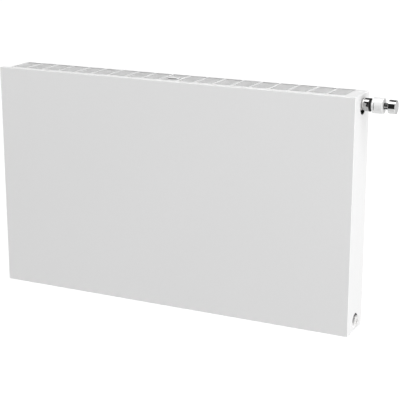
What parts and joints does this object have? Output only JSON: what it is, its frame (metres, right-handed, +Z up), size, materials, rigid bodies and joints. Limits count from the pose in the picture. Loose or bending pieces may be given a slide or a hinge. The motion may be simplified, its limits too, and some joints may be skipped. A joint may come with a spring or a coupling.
{
  "type": "radiator with valve",
  "caption": "Flat-fronted double-panel steel radiator with a top grille, side panels, bottom connections, an air vent and a thermostatic valve at one end.",
  "frame": {"origin": "middle of the back face of the rear water panel, on the crest of its middle channel", "axes": "+X runs along the radiator to the valve end (the right end seen from the room), +Y points into the wall, +Z up"},
  "size_m": [1.0933, 0.114, 0.6037],
  "materials": {
    "white_enamel": "white powder coat, satin, very fine orange peel",
    "grey_primer": "dull grey primer on the sheets inside",
    "white_plastic": "smooth white plastic",
    "grey_label": "plain grey inlay, blank",
    "foam_strip": "dark closed-cell strip",
    "spring_steel": "bright spring steel",
    "rubber": "black rubber",
    "nickel_plated": "brass with a dull nickel plating",
    "brass": "turned brass",
    "chrome": "polished chrome",
    "black_plastic": "black plastic",
    "pale_plastic": "light grey plastic"
  },
  "bodies": {
    "radiator": {"front_plate": "white_enamel", "front_panel_outer_sheet": "white_enamel", "rear_panel_outer_sheet": "white_enamel", "side_panel_left": "white_enamel", "side_panel_right": "white_enamel", "top_grille": "white_enamel", "tee_top_left": "white_enamel", "tee_bottom_left": "white_enamel", "tee_bottom_right": "white_enamel", "valve_housing": "white_enamel", "flow_connection": "white_enamel", "riser_pipe": "white_enamel", "hanging_lug_upper_left": "white_enamel", "hanging_lug_upper_right": "white_enamel", "hanging_lug_lower_left": "white_enamel", "hanging_lug_lower_right": "white_enamel", "front_panel_inner_sheet": "grey_primer", "rear_panel_inner_sheet": "grey_primer", "front_convector": "grey_primer", "rear_convector": "grey_primer", "grille_badge": "white_plastic", "head_barrel": "white_plastic", "badge_label": "grey_label", "front_plate_strip_left": "foam_strip", "front_plate_strip_middle": "foam_strip", "front_plate_strip_right": "foam_strip", "grille_clip_left": "spring_steel", "grille_clip_middle": "spring_steel", "grille_clip_right": "spring_steel", "valve_spring": "spring_steel", "blind_plug_left_oring": "rubber", "blind_plug_right_oring": "rubber", "vent_plug_oring": "rubber", "valve_insert_oring": "rubber", "valve_insert_body": "nickel_plated", "blind_plug_left": "nickel_plated", "blind_plug_right": "nickel_plated", "vent_plug": "nickel_plated", "valve_gland": "brass", "union_nut": "chrome", "scale_ring": "black_plastic", "head_socket": "black_plastic", "sensor_neck": "black_plastic"},
    "handwheel": {"handwheel": "chrome", "end_cap": "pale_plastic"},
    "sensor": {"sensor_element": "pale_plastic", "push_rod": "brass", "overtravel_spring": "spring_steel"},
    "spindle": {"valve_spindle": "spring_steel", "valve_disc": "rubber"},
    "presetting": {"presetting_ring": "pale_plastic"},
    "vent_nozzle": {"vent_nozzle": "white_plastic"},
    "vent_screw": {"vent_screw": "brass"}
  },
  "joints": [
    {"name": "handwheel_turn", "type": "hinge", "parent": "radiator", "child": "handwheel", "pos_m": [0.5653, -0.05, 0.275], "axis": [1, 0, 0], "range_deg": [-150, 150]},
    {"name": "sensor_slide", "type": "slide", "parent": "radiator", "child": "sensor", "axis": [1, 0, 0], "range_m": [-0.0016, 0.0016]},
    {"name": "spindle_slide", "type": "slide", "parent": "radiator", "child": "spindle", "axis": [1, 0, 0], "range_m": [-0.0016, 0.0016], "deforming": ["valve_spring"]},
    {"name": "presetting_turn", "type": "hinge", "parent": "radiator", "child": "presetting", "pos_m": [0.5053, -0.05, 0.275], "axis": [1, 0, 0], "range_deg": [0, 300]},
    {"name": "vent_nozzle_turn", "type": "hinge", "parent": "radiator", "child": "vent_nozzle", "pos_m": [-0.5023, -0.05, 0.275], "axis": [-1, 0, 0], "continuous": true},
    {"name": "vent_screw_turn", "type": "hinge", "parent": "radiator", "child": "vent_screw", "pos_m": [-0.5023, -0.05, 0.275], "axis": [-1, 0, 0], "range_deg": [0, 360]}
  ],
  "couplings": [
    {"joint": "sensor_slide", "follows": "handwheel_turn", "m_per_rad": 0.000573},
    {"joint": "spindle_slide", "follows": "handwheel_turn", "m_per_rad": 0.000573}
  ]
}
